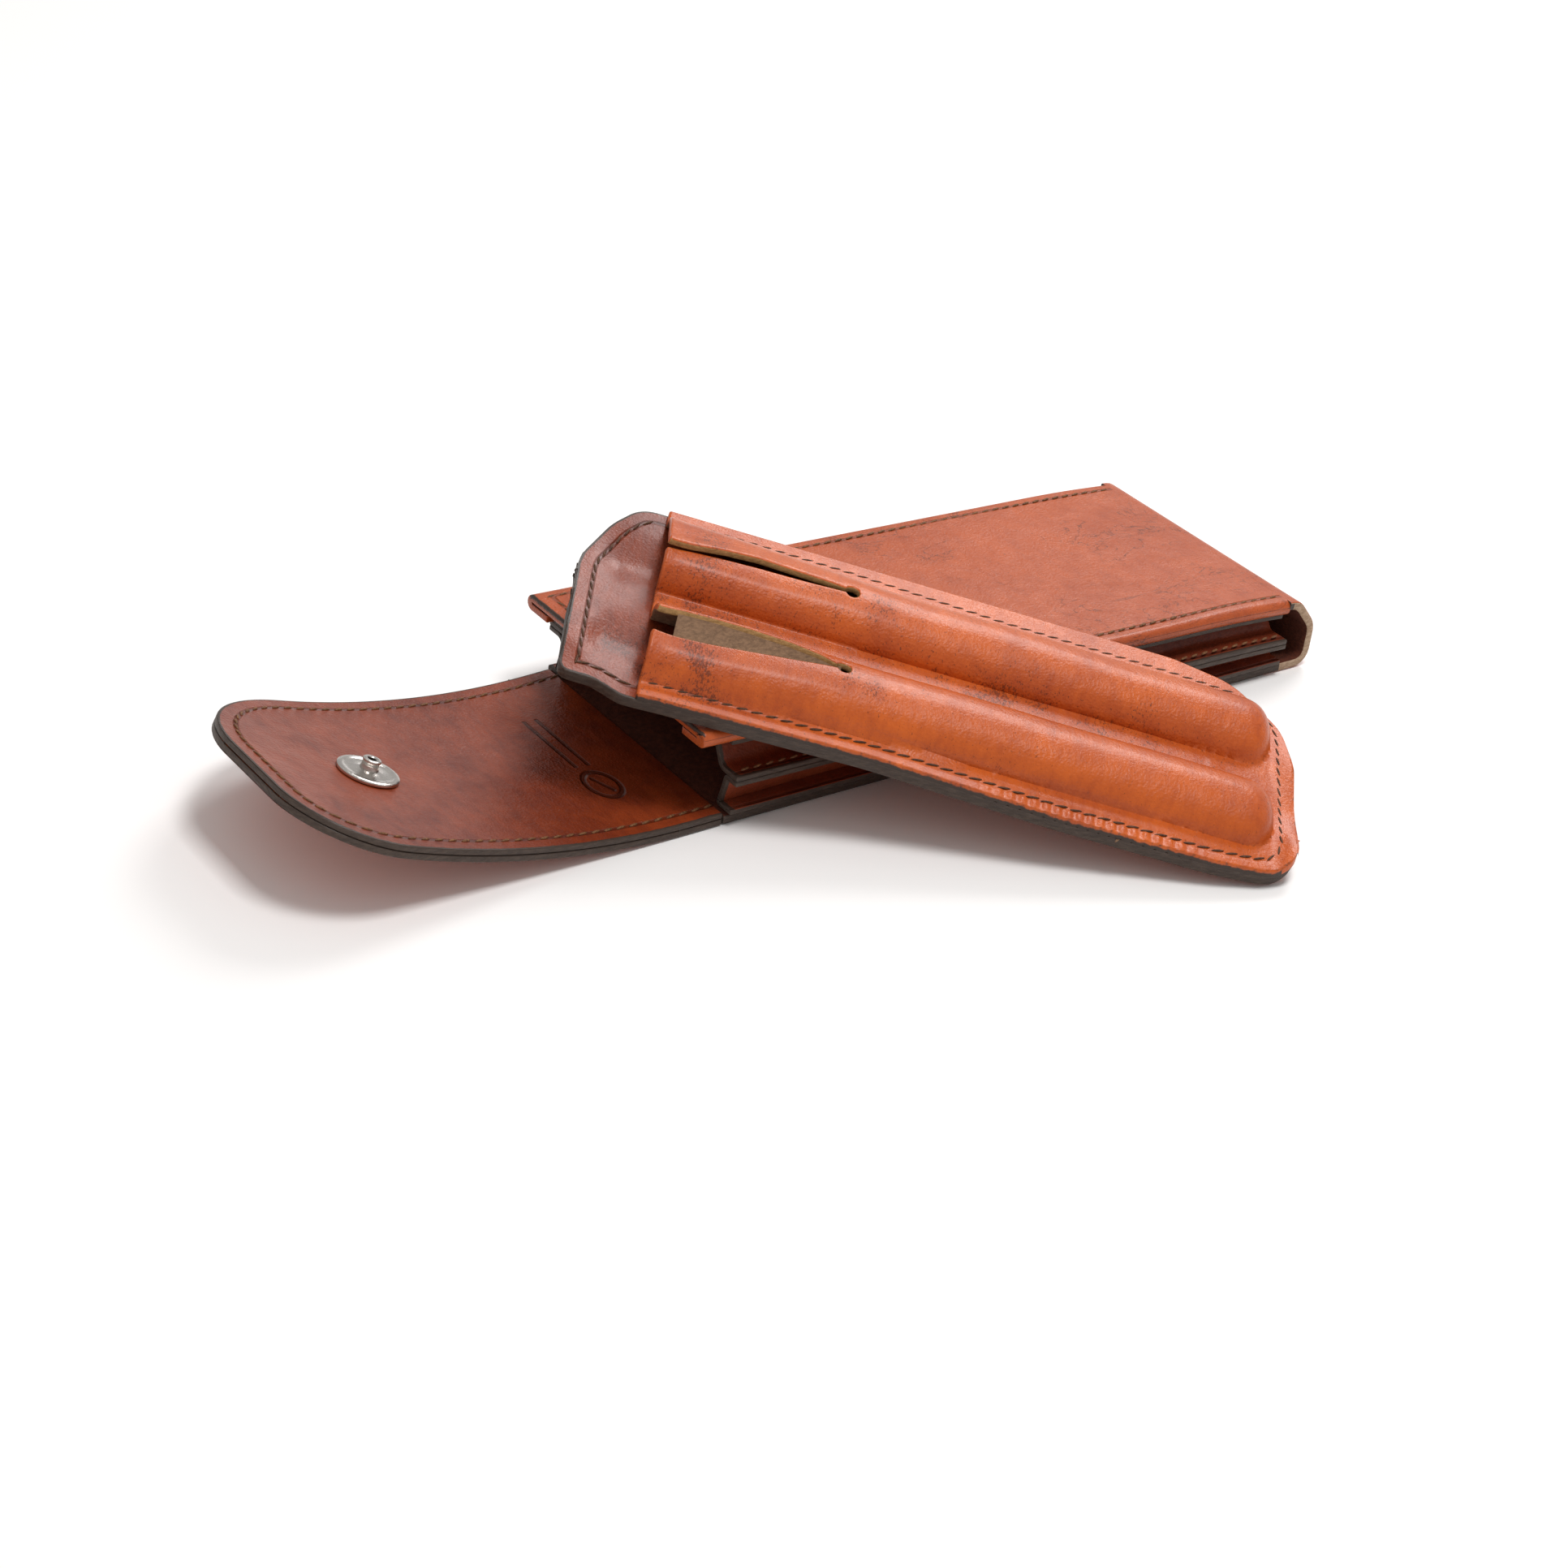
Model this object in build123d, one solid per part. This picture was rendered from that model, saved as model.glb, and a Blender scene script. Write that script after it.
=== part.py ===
"""Leather case for two fountain pens: an outer sleeve with a two-fold flap and a magnetic snap,
and the separate moulded holder that slides into it, lying askew across the sleeve.

Millimetres, +Z up. The origin is the centre of the sleeve's bottom face, on the table.
+X runs along the sleeve from its mouth to its closed end, and +Y from the near side to the far side.
"""
from build123d import *
from math import asin, atan2, cos, degrees, radians, sin
import os

# Sleeve
LENGTH = 160.0  # bottom panel, from the mouth fold to the closed end
WIDTH = 66.0
PLY = 2.0  # sleeve leather
HEM = 3.6  # thickness where a long edge is turned over
HEM_WIDTH = 8.0
LIP = 7.0  # how far the top panel reaches past the mouth fold
MOUTH_X = -LENGTH / 2
SIDE_Y = WIDTH / 2
WRAP_X = 74.0  # where the bottom panel starts to turn up round the closed end
TOP_SLOPE = 0.025  # the top panel falls towards the closed end
DROP_X = 50.0  # where the top panel starts to fall faster, by run squared over DROP
DROP = 800.0
TOP_MOUTH = 22.4  # height of the top face at the mouth

# Side gussets: an upper and a lower strip on each side, sewn together along a flange at mid height
GUSSET_PLY = 1.2
GUSSET_STATIONS = (MOUTH_X + 0.6, 12.0, 50.0, 73.0)
GLUE = 0.05  # gap between pieces that lie on one another
FLANGE_SHARE = 0.57  # height of the flange between the two panels
FLANGE_OUT = 2.0  # how far the flange stands out past the sleeve's sides

# Flap: one strap in two lengths, the spine that covers the mouth and the lid that lies on the sleeve
FLAP_OUTER = 1.5
FLAP_LINING = 1.3
FLAP_THICK = FLAP_OUTER + FLAP_LINING
FLAP_FLAT = 6.0  # this much lies flat on the table before the flap curls up
FLAP_CURL = 370.0  # the underside rises by run squared over this
FLAP_RUN = 93.3  # from the mouth fold to the tip, along the table
SPINE_LENGTH = 22.0
FOLD_GAP = 0.4

# Magnetic snap
SNAP_RADIUS = 7.1  # the socket's cap
STUD_RADIUS = 6.5
SNAP_Y = -3.5
STUD_RUN = 66.5  # distance of the stud from the mouth fold along the table
SOCKET_X = -44.4
HOLE_RADIUS = 2.6
POST_RADIUS = 1.7
PRONG_SPREAD = 3.4
PRONG = (0.4, 2.5)  # thickness and width

# Holder: u runs from the mouth to the closed end, v from the near to the far edge, n out of the front
HOLDER_MOUTH = (-97.8, -22.4, 25.95)  # near corner of its mouth, on the back face
HOLDER_TURN = -36.96
HOLDER_DIP = 11.15
HOLDER_ROLL = 12.18
HOLDER_LENGTH = 138.5
HOLDER_WIDTH = 58.9
TAB = 16.4
BACK_PLY = 1.25
FRONT_PLY = 1.6
TUBE_CENTRES = (15.6, 41.0)
TUBE_HALF_WIDTH = 9.3
TUBE_RISE = 6.4
TUBE_END = 133.5
DOME = 8.0  # length of the domed closed end
SLIT_LENGTH = 39.4
SLIT_MOUTHS = ((-3.2, 1.5), (-2.4, -1.0))  # near and far lip of each slit, beside the tube's crest
SLIT_HOLE_SIDES = (1.8, 0.4)
SLIT_TIP = 1.0
SLIT_HOLE = 1.5

# Thread
PITCH = 3.0
STITCH = (2.2, 0.7, 0.3)
STITCH_CLEAR = 0.03


# Every node is a leaf solid or a group of like solids
nodes = {}


def stitch(place, along, up):
    """One stitch lying on a surface at a point, given its run and the surface's normal."""
    lift = STITCH_CLEAR + STITCH[2] / 2
    return Plane(Vector(*place) + Vector(*up) * lift, x_dir=along, z_dir=up).location * Box(*STITCH)


def strip(lower, upper, start_y, width):
    """A sheet between two curves in the XZ plane, given as lists of points, drawn out along Y."""
    outline = [
        Spline(*lower),
        Line(lower[-1], upper[-1]),
        Spline(*reversed(upper)),
        Line(upper[0], lower[0]),
    ]
    return Pos(0, start_y, 0) * extrude(make_face(outline), amount=width, dir=(0, 1, 0))


def beside(curve, distance, count=61):
    """Points at a distance from a curve in the XZ plane, to the right of its direction."""
    points = []
    for i in range(count):
        here, tangent = curve @ (i / (count - 1)), curve % (i / (count - 1))
        points.append(here + Vector(tangent.Z, 0, -tangent.X) * distance)
    return points


# Sleeve shell: bottom panel, turn round the closed end, top panel with turned long edges
def top_height(x):
    """Height of the top panel's upper face, which drops a little more before the closed end."""
    return TOP_MOUTH - TOP_SLOPE * (x - MOUTH_X + LIP) - max(0.0, x - DROP_X) ** 2 / DROP


def top_normal(x):
    """Upward normal of the top panel's upper face."""
    return Vector(TOP_SLOPE + 2 * max(0.0, x - DROP_X) / DROP, 0, 1).normalized()


def top_point(x, y, out):
    """A point at a distance above the top panel's upper face."""
    return Vector(x, y, top_height(x)) + top_normal(x) * out


def top_strip(thickness, start_y, width):
    """The top panel's leather, to a depth, over part of its width."""
    runs = [MOUTH_X - LIP + (WRAP_X - MOUTH_X + LIP) * i / 24 for i in range(25)]
    lower = [top_point(x, 0, -thickness) for x in runs]
    upper = [top_point(x, 0, 0) for x in runs]
    return strip(lower, upper, start_y, width)


def sleeve_shell():
    bottom = Pos((MOUTH_X + WRAP_X) / 2, 0, PLY / 2) * Box(WRAP_X - MOUTH_X, WIDTH, PLY)
    end, up = top_point(WRAP_X, 0, 0), top_normal(WRAP_X)
    shoulder = end + Vector(up.Z, 0, -up.X) * 3.2
    turn = FilletPolyline(
        (WRAP_X, 0, 0), (83.2, 0, 0), (83.2, 0, 10.5), shoulder, end, radius=[4.0, 6.0, 5.0]
    )
    wrap = strip(beside(turn, 0), beside(turn, -PLY), -SIDE_Y, WIDTH)
    shell = bottom + wrap + top_strip(PLY, -SIDE_Y, WIDTH)
    for edge in (-SIDE_Y, SIDE_Y - HEM_WIDTH):
        shell += top_strip(HEM, edge, HEM_WIDTH)
    slit = Box(PRONG[0] + 0.1, PRONG[1] + 0.1, 3 * PLY)
    for side in (-1, 1):
        shell -= socket_place() * Pos(side * PRONG_SPREAD, 0, 0) * slit
    return shell


def socket_place():
    """Where the snap's socket stands on the top panel."""
    up = top_normal(SOCKET_X)
    return Plane(top_point(SOCKET_X, SNAP_Y, 0), x_dir=up.cross(Vector(0, 1, 0)) * -1, z_dir=up).location


# Gussets
def gusset_top(x):
    """Height of the turned edge's underside, straight between the stations."""
    for a, b in zip(GUSSET_STATIONS, GUSSET_STATIONS[1:]):
        if x <= b:
            share = (x - a) / (b - a)
            return (1 - share) * top_height(a) + share * top_height(b) - HEM - 3 * GLUE
    return top_height(GUSSET_STATIONS[-1]) - HEM - 3 * GLUE


def flange_height(x):
    """Height of the seam between the upper and the lower strip."""
    return PLY + FLANGE_SHARE * (gusset_top(x) - PLY)


def gusset_section(x, side, upper):
    """Section of one gusset strip at a station: a foot on its panel, a web and half of the flange."""
    half = GUSSET_PLY / 2
    seam, top = flange_height(x), gusset_top(x)
    if upper:
        route = [(-FLANGE_OUT, seam + half + GLUE / 2), (3.6, seam + half + GLUE / 2)]
        route += [(6.8, top - half), (0.8, top - half)]
    else:
        foot = PLY + GLUE + half
        route = [(-FLANGE_OUT, seam - half - GLUE / 2), (2.4, seam - half - GLUE / 2)]
        route += [(4.4, foot), (-1.2, foot)]
    bend = FilletPolyline(*[(0, y, z) for y, z in route], radius=[1.5, 1.0])
    rims = []
    for shift in (-half, half):
        rim = []
        for i in range(33):
            here, tangent = bend @ (i / 32), bend % (i / 32)
            at = here + Vector(0, -tangent.Z, tangent.Y) * shift
            rim.append((x, side * (SIDE_Y - at.Y), at.Z))
        rims.append(rim)
    edges = [
        Spline(*rims[0]),
        Line(rims[0][-1], rims[1][-1]),
        Spline(*reversed(rims[1])),
        Line(rims[1][0], rims[0][0]),
    ]
    return make_face(edges)


def gusset(side, upper):
    return loft([gusset_section(x, side, upper) for x in GUSSET_STATIONS], ruled=True)


# Flap
def flap_point(run, height):
    """A point above the flap's underside at a run from the mouth fold, in the XZ plane."""
    rise = max(0.0, run - FLAP_FLAT)
    slope = 2 * rise / FLAP_CURL
    normal = Vector(slope, 0, 1).normalized()
    return Vector(MOUTH_X - run, 0, rise**2 / FLAP_CURL) + normal * height


def flap_normal(run):
    return Vector(2 * max(0.0, run - FLAP_FLAT) / FLAP_CURL, 0, 1).normalized()


def flap_outline():
    """Plan of the flap: straight sides that close in a little and a broad rounded tip."""
    tip = MOUTH_X - FLAP_RUN
    sides = FilletPolyline(
        (MOUTH_X, -SIDE_Y), (tip, -SIDE_Y - 1.2), (tip, SIDE_Y - 6.5), (MOUTH_X, SIDE_Y - 0.5), radius=[19, 26]
    )
    return make_face([sides, Line(sides @ 1, sides @ 0)])


def flap_sheet(low, high, start, end):
    """One ply of the flap between two heights and two runs."""
    runs = [start + (end - start) * i / 24 for i in range(25)]
    sheet = strip([flap_point(r, low) for r in runs], [flap_point(r, high) for r in runs], -60, 120)
    return sheet & Pos(0, 0, -10) * extrude(flap_outline(), amount=60)


def flap_stitches():
    """Places of the stitches all round the flap, as run, point, direction."""
    row = offset(flap_outline(), amount=-3.6).wire()
    count = int(row.length / PITCH)
    for i in range(count):
        here, tangent = row @ (i / count), row % (i / count)
        run = MOUTH_X - here.X
        if run > 4.2:
            yield run, here, tangent


def flap_stitch(run, here, tangent):
    """One stitch on the lining, at a point of the plan."""
    normal = flap_normal(run)
    station = run + normal.X * FLAP_THICK
    base = flap_point(station, FLAP_THICK)
    up = flap_normal(station)
    along = Vector(tangent.X, tangent.Y, -tangent.X * up.X / up.Z).normalized()
    return stitch((base.X, here.Y, base.Z), along, up)


def stud_place():
    """Where the snap's stud stands on the lining."""
    up = flap_normal(STUD_RUN)
    at = flap_point(STUD_RUN, FLAP_THICK)
    return Plane((at.X, SNAP_Y, at.Z), x_dir=(up.Z, 0, -up.X), z_dir=up).location


def ring(outer, inner, bottom, top):
    """A flat ring on the Z axis."""
    body = Pos(0, 0, (bottom + top) / 2) * Cylinder(outer, top - bottom)
    return body - Pos(0, 0, (bottom + top) / 2) * Cylinder(inner, top - bottom + 1)


def prongs(bottom, top, fit=0.0):
    """The two upright prongs of a snap half."""
    size = (PRONG[0] + fit, PRONG[1] + fit, top - bottom)
    pair = [Pos(side * PRONG_SPREAD, 0, (bottom + top) / 2) * Box(*size) for side in (-1, 1)]
    return pair[0] + pair[1]


# Holder, in its own frame
def holder_outline(tab):
    """Plan of the holder: a rounded closed end and, past the mouth, the tab."""
    end, far = HOLDER_LENGTH, HOLDER_WIDTH
    corners = [(5, 0), (22, 0.3), (48, 1.0), (88, -1.0), (121, -1.0), (end, 0.8), (end, 33), (end - 2.5, 46)]
    corners += [(end - 13, far - 2.7), (end - 26.5, far), (0, far)]
    rounds = [60, 60, 60, 60, 9, 20, 14, 14, 20]
    if tab:
        corners += [(-7.0, 58.4), (-TAB, 40.5), (-TAB + 0.3, 2.4), (-9, 2.4), (-3, -0.3), (0, -0.3)]
        rounds += [2, 10, 16, 2.5, 4, 4]
    else:
        corners += [(0, 0)]
        rounds += [0.5]
    sides = FilletPolyline(*corners, radius=rounds)
    return make_face([sides, Line(sides @ 1, sides @ 0)])


def half_tube(half_width, rise, base, centre, start, end):
    """A half-elliptical bar along u with a domed closed end."""
    bar = Rot(0, 90, 0) * Cylinder(1, (end - start) / DOME, align=(Align.CENTER, Align.CENTER, Align.MAX))
    bar += Sphere(1)
    above = Pos(0, 0, 50) * Box(400, 100, 100)
    return Pos(end, centre, base) * (scale(bar, by=(DOME, half_width, rise)) & above)


def holder_front():
    base = 2 * BACK_PLY
    border = base + FRONT_PLY
    front = Pos(0, 0, base) * extrude(holder_outline(False), amount=FRONT_PLY)
    for centre in TUBE_CENTRES:
        front += half_tube(TUBE_HALF_WIDTH, TUBE_RISE, border, centre, 0, TUBE_END - DOME)
    for centre, (near, far), side in zip(TUBE_CENTRES, SLIT_MOUTHS, SLIT_HOLE_SIDES):
        front -= half_tube(TUBE_HALF_WIDTH - FRONT_PLY, TUBE_RISE, base, centre, -1, TUBE_END - DOME - FRONT_PLY)
        line = centre + side
        wedge = make_face(Polyline(
            (-1, centre + near), (SLIT_LENGTH, line - SLIT_TIP / 2),
            (SLIT_LENGTH, line + SLIT_TIP / 2), (-1, centre + far), close=True,
        ))
        punch = Pos(SLIT_LENGTH, line, 0) * Cylinder(SLIT_HOLE, 60)
        above = Pos(0, 0, border + 2) * extrude(wedge, amount=30)
        front -= above
        front -= punch & Pos(SLIT_LENGTH, line, border + 12) * Box(20, 20, 20)
    return front


def holder_stitches(tab):
    """Stitches round the holder's border, or round its tab, in the holder's frame."""
    height = 2 * BACK_PLY + (0 if tab else FRONT_PLY)
    if tab:
        row = offset(holder_outline(True), amount=-3.5).wire()
    else:
        row = FilletPolyline(
            (1.6, 4.0), (48, 4.2), (88, 2.1), (121, 2.1), (135.2, 3.9), (135.2, 41), (134.3, 46.6),
            (127, 53), (112, 53.8), (1.6, 54.6), radius=[60, 60, 60, 6, 8, 6, 6, 20],
        )
    count = int(row.length / PITCH)
    for i in range(count):
        here, tangent = row @ ((i + 0.5) / count), row % ((i + 0.5) / count)
        if here.X < -2.2 or not tab:
            yield stitch((here.X, here.Y, height), (tangent.X, tangent.Y, 0), (0, 0, 1))


def row_on_top(start, end, y):
    """Stitches along the top panel."""
    count = int((end - start) / PITCH)
    for i in range(count):
        x = start + (i + 0.5) * (end - start) / count
        up = top_normal(x)
        yield stitch(top_point(x, y, 0), (up.Z, 0, -up.X), up)


def row_on_gusset(y, height, rise):
    """Stitches along a gusset, at a height worked out from the place along the sleeve."""
    start, end = GUSSET_STATIONS[0] + 1.5, GUSSET_STATIONS[-1] - 1.5
    count = int((end - start) / PITCH)
    for i in range(count):
        x = start + (i + 0.5) * (end - start) / count
        slope = (height(x + 1) - height(x - 1)) / 2
        up = Vector(-slope, 0, 1).normalized()
        yield stitch((x, y, height(x) + rise), (up.Z, 0, -up.X), up)


# Assembly
nodes["sleeve_shell"] = sleeve_shell()
for name, side in (("near", 1), ("far", -1)):
    nodes[f"{name}_gusset_upper"] = gusset(side * -1, True)
    nodes[f"{name}_gusset_lower"] = gusset(side * -1, False)
    out = -side * (SIDE_Y + FLANGE_OUT - 1.5)
    nodes[f"{name}_flange_thread"] = Compound(list(row_on_gusset(out, flange_height, GUSSET_PLY + GLUE)))
    foot = -side * (SIDE_Y - 0.2)
    nodes[f"{name}_foot_thread"] = Compound(list(row_on_gusset(foot, lambda x: PLY + GLUE, GUSSET_PLY)))

rows = []
for y in (-SIDE_Y + 3.6, SIDE_Y - 3.6):
    rows += row_on_top(MOUTH_X - LIP + 2, WRAP_X - 1, y)
mouth_row = int((WIDTH - 10) / PITCH)
for i in range(mouth_row):
    y = (i + 0.5 - mouth_row / 2) * PITCH
    x = MOUTH_X - LIP + 3.4
    rows.append(stitch(top_point(x, y, 0), (0, 1, 0), top_normal(x)))
nodes["top_panel_thread"] = Compound(rows)

socket = socket_place()
cap = ring(SNAP_RADIUS, HOLE_RADIUS, GLUE, 3.4) - Pos(0, 0, 1.5 + GLUE / 2) * Cylinder(SNAP_RADIUS - 0.5, 3.0)
nodes["snap_socket_cap"] = socket * cap
nodes["snap_socket_magnet"] = socket * ring(SNAP_RADIUS - 0.7, HOLE_RADIUS + 0.3, 0.5, 2.9)
plate = Pos(0, 0, 0.25) * Cylinder(SNAP_RADIUS - 0.7, 0.4) + prongs(-PLY - 0.95, 0.2)
for side in (-1, 1):
    plate += Pos(side * (PRONG_SPREAD + 0.9), 0, -PLY - 0.8) * Box(2.2, PRONG[1], 0.3)
nodes["snap_socket_base"] = socket * plate
washer = ring(6.0, 1.5, -PLY - 0.55, -PLY - GLUE) - prongs(-PLY - 1, -PLY + 1, 0.1)
nodes["snap_socket_washer"] = socket * washer
patch = Pos(0, 0, -PLY - 1.1) * Cylinder(9.5, 2.0) - Pos(0, 0, -PLY - 0.5) * Cylinder(7.2, 1.2)
nodes["snap_socket_patch"] = socket * patch

stud = stud_place()
pocket = stud * Pos(0, 0, -FLAP_LINING) * Cylinder(6.0, 0.5)
slits = stud * prongs(-2, 1, 0.1)
lid_start, spine_end = SPINE_LENGTH + FOLD_GAP / 2, SPINE_LENGTH - FOLD_GAP / 2
plies = (("leather", 0.0, FLAP_OUTER - GLUE / 2), ("lining", FLAP_OUTER + GLUE / 2, FLAP_THICK))
for name, low, high in plies:
    nodes[f"flap_spine_{name}"] = flap_sheet(low, high, FOLD_GAP, spine_end)
    nodes[f"flap_lid_{name}"] = flap_sheet(low, high, lid_start, 97) - pocket - slits
stitches = {"spine": [], "lid": []}
for run, here, tangent in flap_stitches():
    if abs(run - SPINE_LENGTH) > 1.6:
        stitches["spine" if run < SPINE_LENGTH else "lid"].append(flap_stitch(run, here, tangent))
for name in stitches:
    nodes[f"flap_{name}_thread"] = Compound(stitches[name])
nodes["snap_stud_washer"] = stud * (ring(5.8, 1.5, -FLAP_LINING - 0.2, -FLAP_LINING + 0.2) - prongs(-2, 0, 0.1))
disc = Pos(0, 0, 0.6) * Cylinder(STUD_RADIUS, 0.9) + prongs(-FLAP_LINING - 0.2, 0.3)
nodes["snap_stud_disc"] = stud * (disc - Pos(0, 0, 0.6) * Cylinder(POST_RADIUS, 2))
post = Pos(0, 0, 1.8) * Cylinder(POST_RADIUS - 0.01, 3.2) - Pos(0, 0, 2.3) * Cylinder(0.8, 3.2)
nodes["snap_stud_post"] = stud * post

holder = Pos(*HOLDER_MOUTH) * Rot(0, 0, HOLDER_TURN) * Rot(0, HOLDER_DIP, 0) * Rot(HOLDER_ROLL, 0, 0)
sheet = extrude(holder_outline(True), amount=BACK_PLY - GLUE / 2)
nodes["holder_back_outer"] = holder * sheet
nodes["holder_back_lining"] = holder * Pos(0, 0, BACK_PLY) * sheet
nodes["holder_front"] = holder * holder_front()
nodes["holder_border_thread"] = holder * Compound(list(holder_stitches(False)))
nodes["holder_tab_thread"] = holder * Compound(list(holder_stitches(True)))

os.makedirs("parts", exist_ok=True)
for name, shape in nodes.items():
    export_step(shape, f"parts/{name}.step")
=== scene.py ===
from math import acos, pi, radians, sin, tan

import bpy
import numpy as np
from mathutils import Euler, Matrix, Vector


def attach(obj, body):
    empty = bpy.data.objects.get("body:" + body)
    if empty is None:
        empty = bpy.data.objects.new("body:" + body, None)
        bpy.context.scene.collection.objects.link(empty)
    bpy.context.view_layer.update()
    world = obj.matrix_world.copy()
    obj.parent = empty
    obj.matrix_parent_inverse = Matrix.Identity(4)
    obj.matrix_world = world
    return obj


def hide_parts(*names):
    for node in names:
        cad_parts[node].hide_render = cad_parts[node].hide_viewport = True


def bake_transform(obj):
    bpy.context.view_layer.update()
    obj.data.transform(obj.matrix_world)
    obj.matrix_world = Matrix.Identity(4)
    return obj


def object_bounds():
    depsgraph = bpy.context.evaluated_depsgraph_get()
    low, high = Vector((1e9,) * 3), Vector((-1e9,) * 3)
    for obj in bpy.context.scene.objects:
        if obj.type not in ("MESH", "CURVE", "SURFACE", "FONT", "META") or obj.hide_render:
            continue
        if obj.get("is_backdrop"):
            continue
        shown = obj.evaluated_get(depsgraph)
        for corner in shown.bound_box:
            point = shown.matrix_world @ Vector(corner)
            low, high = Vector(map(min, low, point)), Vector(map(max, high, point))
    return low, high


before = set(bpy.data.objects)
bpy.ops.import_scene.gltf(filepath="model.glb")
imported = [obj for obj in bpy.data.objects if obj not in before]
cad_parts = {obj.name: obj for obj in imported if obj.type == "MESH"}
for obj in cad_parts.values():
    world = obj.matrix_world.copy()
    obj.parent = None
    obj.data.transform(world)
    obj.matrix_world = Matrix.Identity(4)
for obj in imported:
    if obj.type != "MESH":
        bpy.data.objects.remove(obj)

cad_low, cad_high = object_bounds()

# Table, lamps and camera
# The case lies on a plain white cloth in a bright white room, under a softbox, with a second one
# behind it that draws the soft shadows forward.
bpy.ops.object.select_all(action="DESELECT")
bpy.ops.mesh.primitive_plane_add(size=6, location=(0.4, 0.6, -0.0002))
table = bpy.context.object
table.name = "table_cloth"
table.data.transform(table.matrix_world)
table.matrix_world = Matrix.Identity(4)
table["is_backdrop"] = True
cloth = bpy.data.materials.new("white_cloth")
cloth.use_nodes = True
weave = cloth.node_tree.nodes["Principled BSDF"]
weave.inputs["Base Color"].default_value = (0.93, 0.915, 0.905, 1)
weave.inputs["Roughness"].default_value = 0.9
table.data.materials.append(cloth)

room = bpy.data.worlds.new("white_room")
room.use_nodes = True
walls = room.node_tree.nodes["Background"]
walls.inputs["Color"].default_value = (1.0, 0.985, 0.97, 1)
walls.inputs["Strength"].default_value = 0.50
bpy.context.scene.world = room
bpy.context.scene.view_settings.view_transform = "Standard"
bpy.context.scene.view_settings.look = "None"


def softbox(name, place, aim, width, watts):
    """A square lamp with a diffuser, turned to a point."""
    bpy.ops.object.light_add(type="AREA", location=place)
    lamp = bpy.context.object
    lamp.name = name
    lamp.rotation_mode = "QUATERNION"
    lamp.rotation_quaternion = (Vector(aim) - Vector(place)).to_track_quat("-Z", "Y")
    lamp.data.size = width
    lamp.data.energy = watts
    return lamp


softbox("overhead_box", (0.0, -0.22, 1.0), (0, 0, 0), 0.28, 5.6)
rear_box = softbox("back_box", (0.75, 0.45, 0.85), (0, 0, 0), 0.45, 6.0)
rear_box.data.specular_factor = 0.35

bpy.ops.object.camera_add(location=(-0.43332, -0.47790, 0.34296))
camera = bpy.context.object
right = Vector((0.80580, -0.58150, 0.11170))
up = Vector((0.21890, 0.46780, 0.85630))
ahead = Vector((0.55020, 0.66570, -0.50430))
camera.rotation_mode = "QUATERNION"
camera.rotation_quaternion = Matrix((right, up, -ahead)).transposed().to_quaternion()
camera.data.lens = 75.75
camera.data.sensor_width = 36
camera.data.clip_start = 0.01
bpy.context.scene.camera = camera

# Sleeve, top panel
# Vegetable-tanned calf, dyed and polished by hand. Its two long edges are turned under and sewn, and
# at the mouth it runs on past the gussets as a lip. Sizes here and below are in millimetres.
MM = 0.001


class Dye:
    """One number or colour on its way through a finish, so that shader sums read as plain sums."""

    def __init__(self, finish, socket):
        self.finish, self.socket = finish, socket

    def sum(self, how, other, turned=False):
        first, second = (other, self) if turned else (self, other)
        return self.finish.node("ShaderNodeMath", {0: first, 1: second}, operation=how)

    def __add__(self, other):
        return self.sum("ADD", other)

    def __sub__(self, other):
        return self.sum("SUBTRACT", other)

    def __rsub__(self, other):
        return self.sum("SUBTRACT", other, turned=True)

    def __mul__(self, other):
        return self.sum("MULTIPLY", other)

    def over(self, low, high):
        """0 below low, 1 above high and a soft step between."""
        inputs = {"Value": self, "From Min": low, "From Max": high}
        return self.finish.node("ShaderNodeMapRange", inputs, interpolation_type="SMOOTHSTEP")

    def size(self):
        return self.finish.node("ShaderNodeMath", {0: self}, operation="ABSOLUTE")

    __radd__, __rmul__ = __add__, __mul__


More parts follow.
